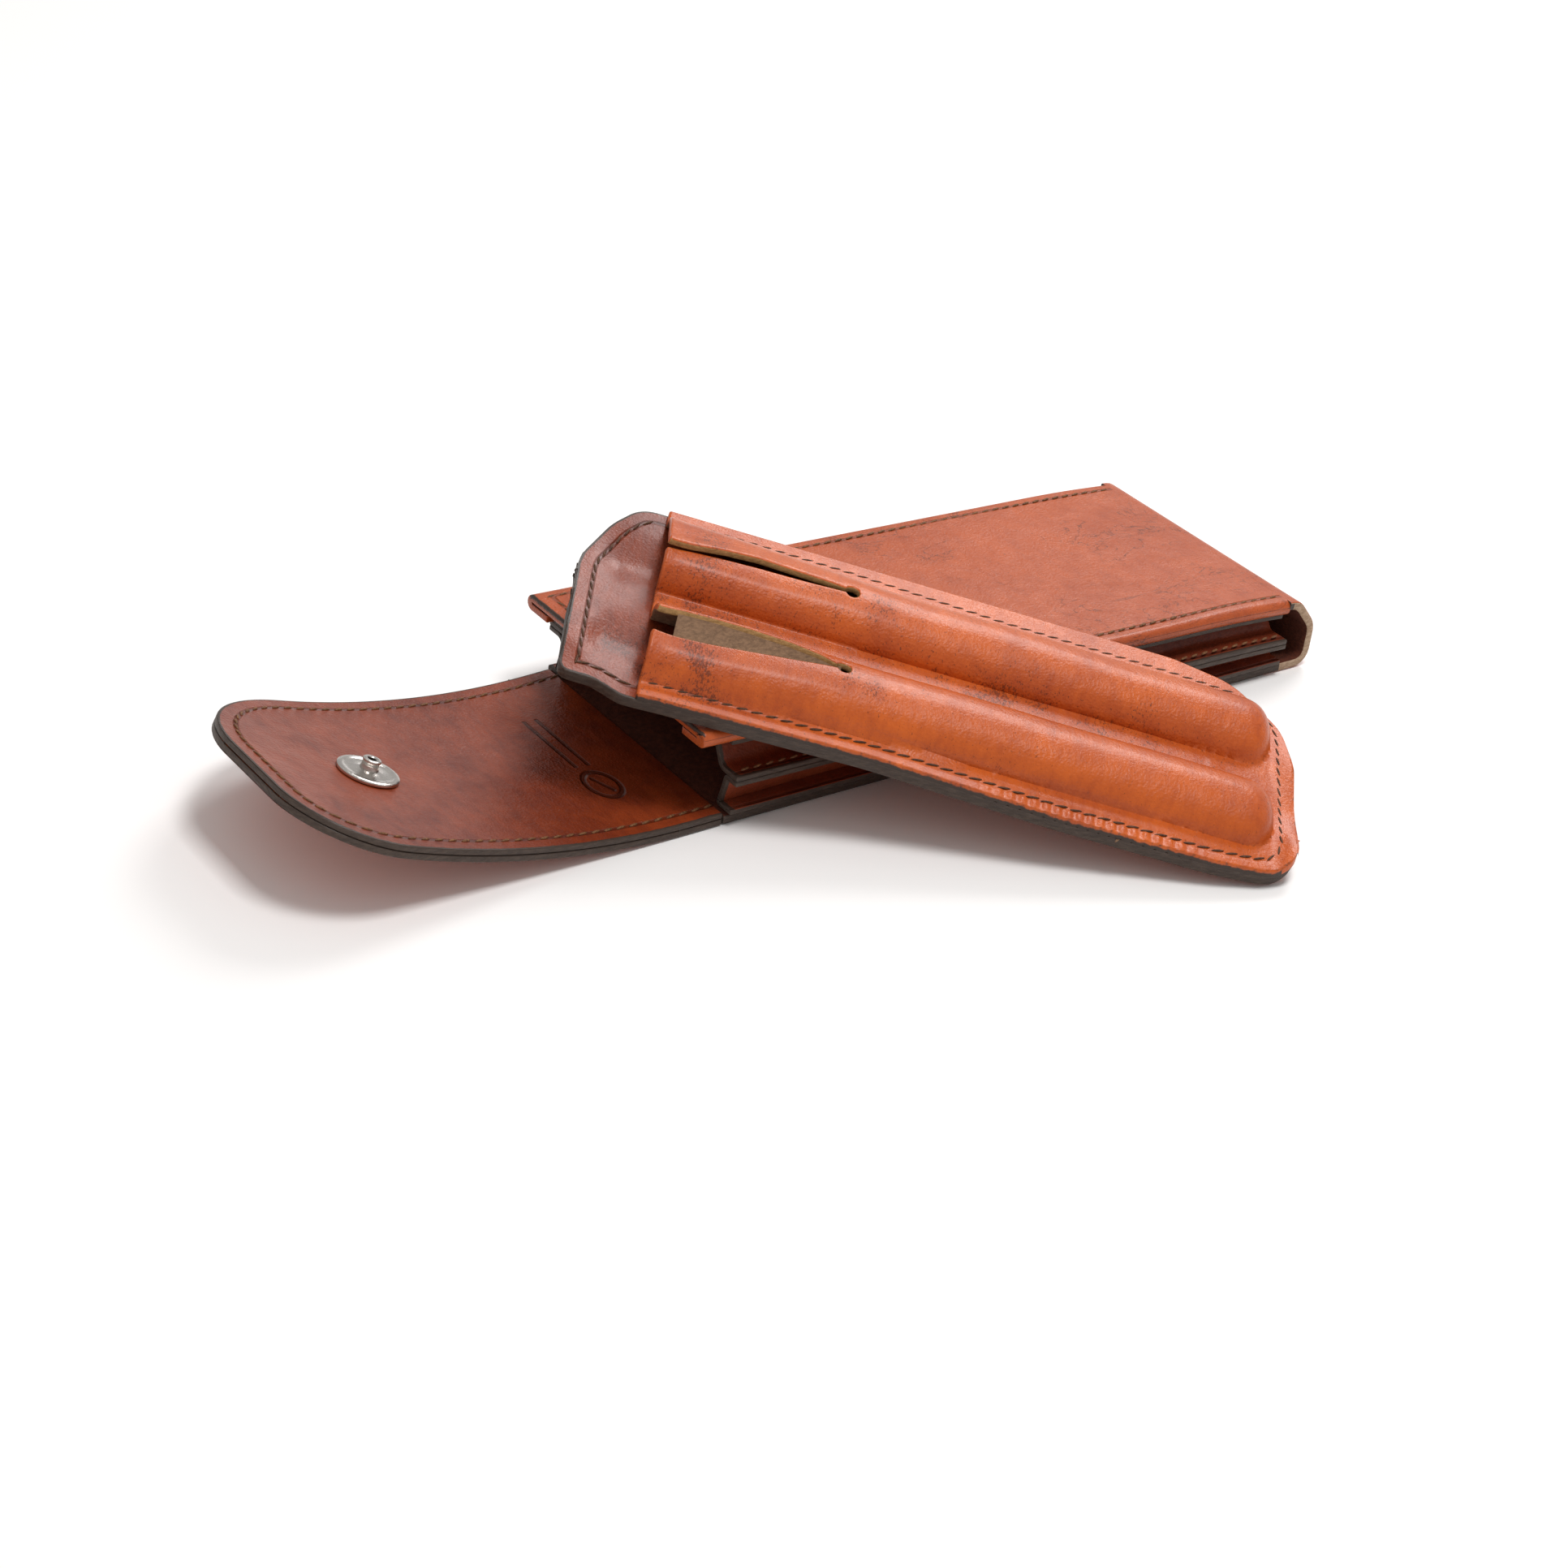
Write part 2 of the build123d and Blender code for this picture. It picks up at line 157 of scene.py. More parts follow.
class Finish:
    """A material under construction: a Principled surface and the nodes that feed it."""

    def __init__(self, name, **fixed):
        self.material = bpy.data.materials.new(name)
        self.material.use_nodes = True
        self.tree = self.material.node_tree
        self.surface = self.tree.nodes["Principled BSDF"]
        for socket, value in fixed.items():
            self.surface.inputs[socket.replace("_", " ")].default_value = value

    def node(self, kind, inputs, out=0, **settings):
        made = self.tree.nodes.new(kind)
        for setting, value in settings.items():
            setattr(made, setting, value)
        for socket, value in inputs.items():
            self.feed(made.inputs[socket], value)
        return Dye(self, made.outputs[out])

    def feed(self, socket, value):
        if isinstance(value, Dye):
            self.tree.links.new(value.socket, socket)
        else:
            socket.default_value = value

    def place(self, stretch=(1, 1, 1), turn=(0, 0, 0)):
        """Points of the object, on a pattern that can be stretched and turned."""
        at = self.node("ShaderNodeTexCoord", {}, "Object")
        if stretch == (1, 1, 1) and turn == (0, 0, 0):
            return at
        inputs = {"Vector": at, "Scale": tuple(1 / s for s in stretch), "Rotation": turn}
        return self.node("ShaderNodeMapping", inputs, vector_type="TEXTURE")

    def cloud(self, at, scale, detail=3.0, rough=0.55, twist=0.0):
        inputs = {"Vector": at, "Scale": scale, "Detail": detail, "Roughness": rough}
        inputs["Distortion"] = twist
        return self.node("ShaderNodeTexNoise", inputs)

    def cells(self, at, scale, feature="F1"):
        return self.node("ShaderNodeTexVoronoi", {"Vector": at, "Scale": scale}, feature=feature)

    def tint(self, share, first, second):
        inputs = {0: share, 6: first, 7: second}
        return self.node("ShaderNodeMix", inputs, 2, data_type="RGBA")

    def carried(self, name):
        """A number carried by the piece's own points."""
        return self.node("ShaderNodeAttribute", {}, "Fac", attribute_name=name)

    def relief(self, height, depth, under=None):
        inputs = {"Height": height, "Distance": depth, "Strength": 1.0}
        if under is not None:
            inputs["Normal"] = under
        return self.node("ShaderNodeBump", inputs)


BURNISH = (0.045, 0.028, 0.020, 1)  # edge dye, dark grey-brown


SEAM = 3.6  # how far in from a rim the sewing groove runs


def leather(
    name, pale, deep, stain, gloss, specks=0.5, veins=0.0, seam=SEAM, turn=(0, 0, 0), tooling=None
):
    """Hand-dyed calf: cloudy colour, dark flecks and veins, pebbled grain, a dyed rim, a sewing groove,
    and a darker tone where the piece carries soiling and painted shade.
    """
    f = Finish(name, Coat_Weight=0.16, Coat_Roughness=0.18, Specular_IOR_Level=0.26)
    at = f.place(turn=turn)
    broad = f.cloud(at, 30, 3, 0.6).over(0.34, 0.66)
    fine = f.cloud(at, 170, 6, 0.66).over(0.30, 0.72)
    streaks = f.cloud(f.place((2.6, 0.7, 1), turn), 260, 4, 0.6).over(0.35, 0.70)
    colour = f.tint(broad * 0.42 + fine * 0.33 + streaks * 0.25, pale, deep)
    # The carried value is soiling on some pieces and painted shade on others, as in the holder's valley
    # and under its tube mouths.
    dark_soil_and_shade = f.carried("soil_and_shade") * f.cloud(at, 120, 3, 0.6).over(0.30, 0.62)
    patches = f.cloud(at, 48, 4, 0.6, 0.4).over(0.52, 0.70)
    soil_and_shade = dark_soil_and_shade * 0.19 + patches * 0.07 * specks
    pores = f.cloud(f.place((1.6, 0.8, 1), turn), 1500, 3, 0.7)
    mark = (pores + soil_and_shade).over(0.625, 0.72) * specks * 0.85
    # Where a piece carries soiling and painted shade, its colour darkens towards the deep tone.
    colour = f.tint(dark_soil_and_shade * 0.45, colour, deep)
    if veins:
        line = (f.cloud(f.place((0.5, 1.2, 1), turn), 70, 5, 0.62, 1.6) - 0.5).size()
        thin = 1 - line.over(0.0, 0.012)
        mark = mark + thin * f.cloud(at, 36, 2).over(0.46, 0.64) * veins
    colour = f.tint(mark, colour, stain)
    groove = 1 - (f.carried("rim_distance") - seam).size().over(0.15, 0.70)
    wear = f.cloud(at, 700, 4, 0.65)
    burnish = (f.carried("burnish") + (wear - 0.5) * 0.7).over(0.40, 0.62)
    colour = f.tint(groove * 0.5, colour, stain)
    colour = f.tint(burnish, colour, BURNISH)
    if tooling:
        creased = tooling(f)
        colour = f.tint(creased * 0.6, colour, stain)
    f.feed(f.surface.inputs["Base Color"], colour)
    dull = gloss + fine * 0.10 + broad * 0.05 + burnish * 0.20 + mark * 0.1
    f.feed(f.surface.inputs["Roughness"], dull)
    pebble = f.cells(at, 1500) * 0.5 + f.cloud(at, 2600, 3, 0.6) * 0.7
    bump = f.relief(f.cloud(at, 110, 3, 0.5), 0.0005)
    bump = f.relief(pebble, 0.00013, bump)
    bump = f.relief(1 - groove, 0.00030, bump)
    if tooling:
        bump = f.relief(1 - creased, 0.0006, bump)
    f.feed(f.surface.inputs["Normal"], bump)
    return f.material


def raw_leather(name, light, dark):
    """Undyed cut edge or flesh side: dry, fibrous and matt."""
    f = Finish(name, Specular_IOR_Level=0.2)
    at = f.place()
    fibre = f.cloud(f.place((1, 1, 2.5)), 900, 5, 0.7)
    f.feed(f.surface.inputs["Base Color"], f.tint(fibre.over(0.3, 0.7), light, dark))
    f.feed(f.surface.inputs["Roughness"], f.cloud(at, 300) * 0.2 + 0.75)
    f.feed(f.surface.inputs["Normal"], f.relief(fibre, 0.0003))
    return f.material


def burnished_edge():
    """Cut edge dyed dark and rubbed smooth with wax, a faint line where the plies meet."""
    f = Finish("burnished_edge", Coat_Weight=0.05, Coat_Roughness=0.35, Specular_IOR_Level=0.35)
    at = f.place()
    rubbed = f.cloud(f.place((1, 1, 4)), 420, 5, 0.65)
    colour = f.tint(rubbed.over(0.35, 0.75), BURNISH, (0.085, 0.056, 0.040, 1))
    f.feed(f.surface.inputs["Base Color"], colour)
    f.feed(f.surface.inputs["Roughness"], f.cloud(at, 260) * 0.25 + 0.40)
    f.feed(f.surface.inputs["Normal"], f.relief(rubbed, 0.0004))
    return f.material


edge_dye = burnished_edge()
flesh_side = raw_leather("flesh_side", (0.29, 0.17, 0.10, 1), (0.17, 0.10, 0.06, 1))
lined_inside = raw_leather("dyed_flesh_side", (0.13, 0.035, 0.018, 1), (0.065, 0.018, 0.011, 1))
cream_cut = raw_leather("cream_cut_edge", (0.50, 0.36, 0.25, 1), (0.30, 0.19, 0.12, 1))


def stand_on(piece):
    """Makes a piece the only one selected and the active one."""
    bpy.ops.object.select_all(action="DESELECT")
    piece.select_set(True)
    bpy.context.view_layer.objects.active = piece


def set_points(piece, points):
    piece.data.vertices.foreach_set("co", np.asarray(points, float).ravel())
    piece.data.update()


def get_points(piece):
    points = np.zeros(len(piece.data.vertices) * 3)
    piece.data.vertices.foreach_get("co", points)
    return points.reshape(-1, 3)


def cut_leather(name, rows, columns, shape):
    """A flat grid carried to its place: shape turns row and column numbers into points."""
    bpy.ops.object.select_all(action="DESELECT")
    bpy.ops.mesh.primitive_grid_add(x_subdivisions=rows - 1, y_subdivisions=columns - 1, size=1)
    piece = bpy.context.object
    piece.name = name
    flat = get_points(piece)
    row = np.rint((flat[:, 0] + 0.5) * (rows - 1)).astype(int)
    column = np.rint((flat[:, 1] + 0.5) * (columns - 1)).astype(int)
    set_points(piece, shape(row, column) * MM)
    return piece


def thicken(piece, ply, inward, finishes, even=True):
    """Gives a sheet its thickness; the finishes are for its front, its back and its cut rim."""
    stand_on(piece)
    for finish in finishes:
        piece.data.materials.append(finish)
    solid = piece.modifiers.new("ply", "SOLIDIFY")
    solid.thickness = ply * MM
    solid.offset = -1 if inward else 1
    solid.use_even_offset = even
    solid.material_offset = 1
    solid.material_offset_rim = 2
    bpy.ops.object.modifier_apply(modifier="ply")


def soften_rims(piece, radius, whole=None):
    """Rounds the cut edges, all but those that a test keeps whole."""
    stand_on(piece)
    bpy.ops.object.mode_set(mode="EDIT")
    bpy.ops.mesh.select_mode(type="EDGE")
    bpy.ops.mesh.select_all(action="DESELECT")
    bpy.ops.mesh.edges_select_sharp(sharpness=radians(48))
    bpy.ops.object.mode_set(mode="OBJECT")
    if whole is not None:
        kept = whole(get_points(piece) / MM)
        for edge in piece.data.edges:
            if edge.select and kept[edge.vertices[0]] and kept[edge.vertices[1]]:
                edge.select = False
    bpy.ops.object.mode_set(mode="EDIT")
    bpy.ops.mesh.bevel(offset=radius * MM, segments=3, affect="EDGES")
    bpy.ops.mesh.select_all(action="SELECT")
    bpy.ops.mesh.normals_make_consistent(inside=False)
    bpy.ops.object.mode_set(mode="OBJECT")
    bpy.ops.object.shade_smooth_by_angle(angle=radians(42))


def mark_rim(piece, distance, burnish=None, soil_and_shade=0.0):
    """Lets each point carry its distance from the cut rim, its edge dye, and its soiling and painted
    shade.
    """
    distance = np.asarray(distance, float)
    burnish = 1 - step_up((distance - 0.1) / 0.9) if burnish is None else burnish
    for layer, values in (("rim_distance", distance), ("burnish", burnish), ("soil_and_shade", soil_and_shade)):
        values = np.broadcast_to(values, distance.shape).astype(np.float32)
        piece.data.attributes.new(layer, "FLOAT", "POINT").data.foreach_set("value", values)


def rounded(corners, radii, step=0.6):
    """Points along straight runs joined by arcs."""
    corners = [np.array(c, float) for c in corners]
    points = [corners[0]]
    for before, corner, after, radius in zip(corners, corners[1:], corners[2:], radii):
        back, on = before - corner, after - corner
        back, on = back / np.linalg.norm(back), on / np.linalg.norm(on)
        half = acos(np.clip(back @ on, -1, 1)) / 2
        reach = radius / tan(half)
        middle = corner + (back + on) / np.linalg.norm(back + on) * radius / sin(half)
        turn = pi - 2 * half
        count = max(3, int(radius * turn / step))
        first, last = corner + back * reach - middle, corner + on * reach - middle
        for i in range(count + 1):
            share = i / count
            arm = (sin((1 - share) * turn) * first + sin(share * turn) * last) / sin(turn)
            points.append(middle + arm)
    points.append(corners[-1])
    return np.array(points)


def spaced(points, count):
    """The same line with points at even steps."""
    runs = np.concatenate([[0], np.cumsum(np.linalg.norm(np.diff(points, axis=0), axis=1))])
    at = np.linspace(0, runs[-1], count)
    return np.stack([np.interp(at, runs, points[:, i]) for i in range(points.shape[1])], axis=1)


def step_up(value):
    """A soft step from 0 to 1."""
    value = np.clip(value, 0, 1)
    return value * value * (3 - 2 * value)


MOUTH, SIDE, LIP = -80.0, 33.0, 7.0
WRAP = 74.0  # where the top panel meets the end that is turned up from below
PLY, TOP_PLY, HEM = 2.0, 1.78, 3.6
LIP_HEIGHT, TOP_FALL = 22.4, 0.025
NOSE, NOSE_CURVE = 50, 800  # past the nose the top dips by distance squared over the curve


def top_height(x):
    return LIP_HEIGHT - TOP_FALL * (x - MOUTH + LIP) - np.maximum(0, x - NOSE) ** 2 / NOSE_CURVE


top_rows = 140
hem_turn = np.linspace(0, pi, 9)
hem_round = (HEM / 2) * np.stack([np.sin(hem_turn), -1 + np.cos(hem_turn)], axis=1)
hem_line = hem_round + [SIDE - HEM / 2, 0]
inner_line = np.array([[SIDE - 5, -HEM], [SIDE - 8, -HEM]])
flat_line = np.stack([np.linspace(0, SIDE - HEM / 2, 24)[:-1], np.zeros(23)], axis=1)
half_line = np.vstack([flat_line, hem_line, inner_line])
top_line = np.vstack([half_line[::-1] * [-1, 1], half_line[1:]])


def top_shape(row, column):
    x = MOUTH - LIP + (WRAP - MOUTH + LIP) * row / (top_rows - 1)
    y, depth = top_line[column].T
    ripple = 0.12 * np.sin(x / 9 + y / 15) * np.cos(y / 11)
    return np.stack([x, y, top_height(x) + depth + ripple * (depth == 0)], axis=1)


shell_grain = leather(
    "shell_grain", (0.50, 0.098, 0.022, 1), (0.34, 0.058, 0.013, 1), (0.10, 0.022, 0.009, 1), 0.30,
    specks=0.8, veins=0.8,
)
top = cut_leather("sleeve_top_panel", top_rows, len(top_line), top_shape)
thicken(top, TOP_PLY, True, [shell_grain, lined_inside, shell_grain])
soften_rims(top, 0.4, lambda p: p[:, 0] > WRAP - 0.3)
at = get_points(top) / MM
from_lip = at[:, 0] - MOUTH + LIP
depth = top_height(at[:, 0]) - at[:, 2]
NO_SEAM = 9  # a rim distance with no groove and no dye
seam_distance = np.where(depth > 1.2, NO_SEAM, np.minimum(SIDE - np.abs(at[:, 1]), from_lip))
mark_rim(top, seam_distance, 0.75 * (1 - step_up((from_lip - 0.1) / 1.0)) * (depth < 0.6))
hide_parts("sleeve_shell")
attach(top, "sleeve")

# Sleeve, bottom panel and turned closed end
# The same strip of leather runs under the case and round its closed end, where its cut sides show
# cream, and butts against the top panel. Elsewhere its edges are dyed dark.
END, END_BEND, LEAN_BACK = 83.2, 10.5, 3.2
end_height = float(top_height(WRAP))
end_fall = TOP_FALL + 2 * (WRAP - NOSE) / NOSE_CURVE
wrap_corners = [
    (MOUTH, 0), (END, 0), (END, END_BEND),
    (WRAP + LEAN_BACK, end_height - LEAN_BACK * end_fall), (WRAP, end_height),
]
wrap_rows, wrap_columns = 150, 31
wrap_line = spaced(rounded(wrap_corners, [4.0, 6.0, 5.0]), wrap_rows)


def wrap_shape(row, column):
    x, z = wrap_line[row].T
    y = -SIDE + 2 * SIDE * column / (wrap_columns - 1)
    return np.stack([x, y, z], axis=1)


bottom = cut_leather("sleeve_bottom_and_end", wrap_rows, wrap_columns, wrap_shape)
thicken(bottom, PLY, False, [lined_inside, shell_grain, cream_cut])
soften_rims(bottom, 0.35, lambda p: (p[:, 2] > 9) & (p[:, 0] < WRAP + 0.3))
at = get_points(bottom) / MM
mark_rim(bottom, np.where(at[:, 0] < WRAP - 4, SIDE - np.abs(at[:, 1]), NO_SEAM))
bottom.data.materials.append(edge_dye)
for face in bottom.data.polygons:
    if face.material_index == 2 and face.center.x < (WRAP + 0.5) * MM:
        face.material_index = 3
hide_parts("sleeve_shell")
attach(bottom, "sleeve")

# Side gussets
# Two thin strips on each side, each with a foot on its panel, meet in a sewn flange at mid height
# that stands out past the sleeve, its cut edge dyed dark.
STRIP = 1.2
FLANGE_OUT = 2.0
GUSSET_SEAM = 1.6
FLANGE_SHARE = 0.57  # the flange's place between the two panels


def gusset_top(x):
    return top_height(x) - HEM - 0.15


def flange_height(x):
    return PLY + FLANGE_SHARE * (gusset_top(x) - PLY)


gusset_grain = leather(
    "gusset_grain", (0.25, 0.046, 0.015, 1), (0.13, 0.021, 0.009, 1), (0.035, 0.010, 0.007, 1), 0.34,
    specks=0.8, seam=GUSSET_SEAM,
)


def gusset_strip(name, side, upper):
    """One strip: at each place along the sleeve its line, as distance in from the side and height, is
    rounded, and then the sheet gets its thickness."""
    rows, columns = 100, 44
    xs = np.linspace(MOUTH + 0.6, WRAP - 1, rows)
    grid = np.zeros((rows, columns, 3))
    half = STRIP / 2
    for i, x in enumerate(xs):
        seam, ceiling = flange_height(x), gusset_top(x)
        if upper:
            roof = ceiling - half
            corners = [(-FLANGE_OUT, seam + half), (3.6, seam + half), (6.8, roof), (0.8, roof)]
        else:
            foot = PLY + 0.05 + half
            corners = [(-FLANGE_OUT, seam - half), (2.4, seam - half), (4.4, foot), (-1.2, foot)]
        line = spaced(rounded(corners, [1.5, 1.0], 0.25), columns)
        wave = 0.25 * np.sin(x / 8 + side) * np.sin(np.linspace(0, pi, columns))
        y = side * (SIDE - line[:, 0] + wave)
        grid[i] = np.stack([np.full(columns, x), y, line[:, 1]], axis=1)
    strip = cut_leather(name, rows, columns, lambda row, column: grid[row, column])
    thicken(strip, STRIP, True, [gusset_grain, gusset_grain, edge_dye])
    soften_rims(strip, 0.3)
    at = get_points(strip) / MM
    from_flange = SIDE + FLANGE_OUT - np.abs(at[:, 1])
    rim = np.minimum(from_flange, at[:, 0] - MOUTH - 0.6)
    mark_rim(strip, from_flange, 1 - step_up((rim - 0.2) / 1.1))
    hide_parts(name)
    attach(strip, "sleeve")


for side, which in ((-1, "near"), (1, "far")):
    gusset_strip(f"{which}_gusset_upper", side, True)
    gusset_strip(f"{which}_gusset_lower", side, False)

# Thread on the sleeve
# Waxed brown linen in a saddle stitch of 3 mm, each stitch pulled into the leather at both ends.
PITCH = 3.0


def thread_finish(name, dark, light):
    """Waxed linen, its twist seen as fine light and dark."""
    f = Finish(name, Specular_IOR_Level=0.35)
    twist = f.cloud(f.place(), 1900, 3, 0.6)
    f.feed(f.surface.inputs["Base Color"], f.tint(twist.over(0.3, 0.7), dark, light))
    f.feed(f.surface.inputs["Roughness"], twist * 0.3 + 0.5)
    f.feed(f.surface.inputs["Normal"], f.relief(twist, 0.0003))
    return f.material


brown_thread = thread_finish("waxed_brown_thread", (0.050, 0.020, 0.010, 1), (0.13, 0.055, 0.024, 1))
tan_thread = thread_finish("waxed_tan_thread", (0.10, 0.040, 0.015, 1), (0.24, 0.105, 0.040, 1))
bpy.ops.object.select_all(action="DESELECT")
bpy.ops.mesh.primitive_uv_sphere_add(segments=8, ring_count=6, radius=1)
pattern_stitch = bpy.context.object
pattern = get_points(pattern_stitch)
pattern[:, 2] = np.where(pattern[:, 2] > 0, pattern[:, 2], pattern[:, 2] * 0.6)
pattern_faces = [tuple(face.vertices) for face in pattern_stitch.data.polygons]
bpy.data.objects.remove(pattern_stitch)


def sew(name, places, thread=tan_thread, long=1.25, wide=0.33, high=0.28, slant=0.24):
    """A row of stitches, each copied to its place, direction and surface, in millimetres."""
    points, faces = [], []
    for place, along, up in places:
        along, up = Vector(along).normalized(), Vector(up).normalized()
        along = (along + slant * up.cross(along)).normalized()
        across = up.cross(along).normalized()
        turn = np.array([along * long, across * wide, up * high])
        base = len(points) * len(pattern)
        points.append(pattern @ turn + np.array(place) + np.array(up) * 0.02)
        faces += [tuple(base + i for i in face) for face in pattern_faces]
    mesh = bpy.data.meshes.new(name)
    mesh.from_pydata((np.vstack(points) * MM).tolist(), [], faces)
    mesh.materials.append(thread)
    row = bpy.data.objects.new(name, mesh)
    bpy.context.scene.collection.objects.link(row)
    stand_on(row)
    bpy.ops.object.shade_smooth()
    return row


def straight_row(start, end, line):
    """Places of stitches along X, where line gives the point and the upward normal."""
    count = int((end - start) / PITCH)
    for i in range(count):
        x = start + (i + 0.5) * (end - start) / count
        here, ahead_of = np.array(line(x)), np.array(line(x + 0.1))
        along = ahead_of - here
        yield here, along, (-along[2], 0, along[0])


rows = []
for y in (-SIDE + SEAM, SIDE - SEAM):
    rows += straight_row(MOUTH - LIP + 2, WRAP - 1, lambda x: (x, y, top_height(x)))
mouth_count = int((2 * SIDE - 10) / PITCH)
mouth_x = MOUTH - LIP + SEAM
for i in range(mouth_count):
    y = (i + 0.5 - mouth_count / 2) * PITCH
    rows.append(((mouth_x, y, top_height(mouth_x)), (0, 1, 0), (TOP_FALL, 0, 1)))
top_row = sew("top_panel_stitches", rows)
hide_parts("top_panel_thread")
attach(top_row, "sleeve")
side_start, side_end = MOUTH + 2, WRAP - 2.5
for side, which in ((-1, "near"), (1, "far")):
    out, foot = side * (SIDE + FLANGE_OUT - 1.5), side * (SIDE - 0.2)
    flange_line = straight_row(side_start, side_end, lambda x: (x, out, flange_height(x) + STRIP))
    row = sew(f"{which}_flange_stitches", flange_line)
    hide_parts(f"{which}_flange_thread")
    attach(row, "sleeve")
    foot_line = straight_row(side_start, side_end, lambda x: (x, foot, PLY + STRIP + 0.08))
    row = sew(f"{which}_foot_stitches", foot_line)
    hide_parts(f"{which}_foot_thread")
    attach(row, "sleeve")

# Flap
# An outer ply and a smooth lining, sewn all round, one strap from the bottom panel over the mouth
# to the lid. It lies flat for a short run past the mouth and then curls up, more and more towards the lid.
SPINE, TIP = 22.0, 93.3
FLAP_THICK = 2.8
PLIES = (("leather", 1.45, 0.0), ("lining", FLAP_THICK, 1.5))  # the top and the underside of each
FLAT_RUN, FLAP_CURL = 6, 370  # past the flat run it rises by distance squared over the curl
flap_corners = [(0, -SIDE), (TIP, -SIDE - 1.2), (TIP, SIDE - 6.5), (0, SIDE - 0.5)]
flap_edge = rounded(flap_corners, [19, 26], 0.8)
split = 11.0  # each ply is cut in two here, midway along the spine


def flap_place(run, height):
    """A point above the flap's underside, which lies flat and then curls up."""
    curled = np.maximum(0, run - FLAT_RUN)
    slope = 2 * curled / FLAP_CURL
    stretch = 1 / np.sqrt(1 + slope**2)
    return MOUTH - run + slope * stretch * height, curled**2 / FLAP_CURL + stretch * height


def flap_sides(run):
    """Near and far limits of the flap at each run."""
    limits = []
    for edge in (flap_edge, flap_edge[::-1]):
        side = edge[: np.argmax(edge[:, 0] >= TIP - 1e-6) + 1]
        limits.append(np.interp(run, side[:, 0], side[:, 1]))
    return limits


def distance_to(line, points):
    """Shortest distance from each point to a line, both flat."""
    best = np.full(len(points), 1e9)
    for a, b in zip(line, line[1:]):
        d = b - a
        if d @ d < 1e-12:
            continue
        share = np.clip(((points - a) @ d) / (d @ d), 0, 1)
        best = np.minimum(best, np.linalg.norm(points - a - share[:, None] * d, axis=1))
    return best


near_rim, far_rim = [0, 0.6, 1.3, 2.2], [63.1, 64.0, 64.7, 65.4]
across = np.concatenate([near_rim, np.linspace(3.4, 62, 34), far_rim]) / far_rim[-1]


def flap_piece(name, height, ply, runs, finishes):
    """One stretch of one ply."""
    near, far = flap_sides(runs)

    def shape(row, column):
        x, z = flap_place(runs[row], height)
        y = near[row] + (far[row] - near[row]) * across[column]
        return np.stack([x, y, z], axis=1)

    piece = cut_leather(name, len(runs), len(across), shape)
    thicken(piece, ply, False, finishes)
    cut_x = flap_place(split, height)[0]
    soften_rims(piece, 0.35, lambda p: np.abs(p[:, 0] - cut_x) < 0.5)
    at = get_points(piece) / MM
    run = MOUTH - at[:, 0]
    run += np.where(run > FLAT_RUN, 2 * (run - FLAT_RUN) / FLAP_CURL * height, 0)
    mark_rim(piece, distance_to(flap_edge, np.stack([run, at[:, 1]], axis=1)))
    return piece


def bend(piece, span):
    """Bakes the piece's placement into its mesh, alike for the root and the lid."""
    if span == "root":
        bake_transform(piece)
    else:
        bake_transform(piece)


def tooled_oval(f):
    """A blind-tooled oval between two short creased lines, a plain ornament on the lining."""
    x = f.node("ShaderNodeSeparateXYZ", {"Vector": f.place()}, "X")
    y = Dye(f, x.socket.node.outputs["Y"])
    off_x, off_y = x + 0.0965, y + 0.0135
    oval_x, oval_y = off_x * 290, off_y * 195
    away = f.node("ShaderNodeMath", {0: oval_x * oval_x + oval_y * oval_y}, operation="SQRT")

    def crease(distance):
        return 1 - distance.size().over(0.0002, 0.0006)

    ring = 1 - (away - 1).size().over(0.05, 0.22)
    heart = crease(off_x + off_y * 0.35) * (1 - away.over(0.6, 0.75))
    between = 1 - (y - 0.0045).size().over(0.0100, 0.0104)
    lines = crease(x + 0.0978) + crease(x + 0.0948)
    return (ring + heart + lines * between).over(0, 1)


lining_grain = leather(
    "lining_grain", (0.28, 0.047, 0.012, 1), (0.115, 0.016, 0.006, 1), (0.028, 0.009, 0.006, 1), 0.27,
    specks=0.6, tooling=tooled_oval,
)
past_fold, round_start = 32, 67  # the rows stand close over the fold, and again round the tip
tip_rows = round_start + (TIP - round_start) * np.sin(np.linspace(0, pi / 2, 26))
fold_rows, lid_rows = np.linspace(split, past_fold, 40), np.linspace(past_fold, round_start, 22)
spans = {
    "root": np.linspace(0.3, split, 26),
    "lid": np.concatenate([fold_rows[:-1], lid_rows[:-1], tip_rows]),
}
for ply_name, height, base in PLIES:
    finishes = [shell_grain, lining_grain if ply_name == "lining" else shell_grain, edge_dye]
    for span, runs in spans.items():
        piece = flap_piece(f"flap_{span}_{ply_name}", height, height - base, runs, finishes)
        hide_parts(f"flap_spine_{ply_name}", *([f"flap_lid_{ply_name}"] if span == "lid" else []))
        bend(piece, span)


def inset(line, distance):
    """The same line moved to its left."""
    ahead_of = np.gradient(line, axis=0)
    ahead_of /= np.linalg.norm(ahead_of, axis=1)[:, None]
    return line + distance * np.stack([-ahead_of[:, 1], ahead_of[:, 0]], axis=1)


